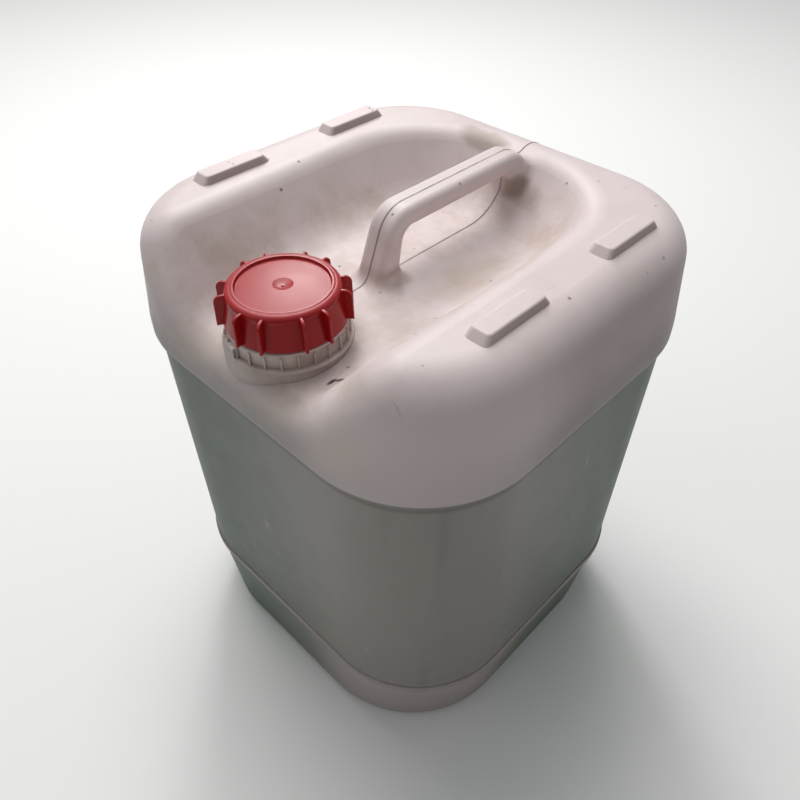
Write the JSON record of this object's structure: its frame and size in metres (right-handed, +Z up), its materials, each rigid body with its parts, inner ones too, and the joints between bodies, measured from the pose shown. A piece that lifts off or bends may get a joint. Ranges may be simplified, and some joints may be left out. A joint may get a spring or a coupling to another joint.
{
  "type": "plastic chemical drum",
  "caption": "Square stackable closed-head plastic drum with a moulded carrying handle in a recessed top, stacking lugs and a finned screw cap on a threaded neck.",
  "frame": {"origin": "centre of the foot, on the surface that the drum stands on", "axes": "+Z up; +Y along the handle from the neck towards the rear; +X across the handle, to the right when the neck is nearest"},
  "size_m": [0.296, 0.288, 0.364],
  "materials": {
    "natural_hdpe": "milky natural polyethylene, satin, lightly scuffed and stained",
    "red_cap": "smooth moulded red plastic, semi-gloss",
    "foam_liner": "white closed-cell foam, matt"
  },
  "bodies": {
    "drum": {"drum_body": "natural_hdpe"},
    "seal": {"cap_liner": "foam_liner"},
    "cap": {"screw_cap": "red_cap"}
  },
  "joints": [
    {"name": "cap_lift", "type": "slide", "parent": "drum", "child": "seal", "axis": [0, 0, 1], "range_m": [0, 0.01]},
    {"name": "cap_turn", "type": "hinge", "parent": "seal", "child": "cap", "pos_m": [0, -0.102, 0.345], "axis": [0, 0, 1], "range_deg": [0, 720]}
  ],
  "couplings": [
    {"joint": "cap_lift", "follows": "cap_turn", "m_per_rad": 0.00079577}
  ]
}
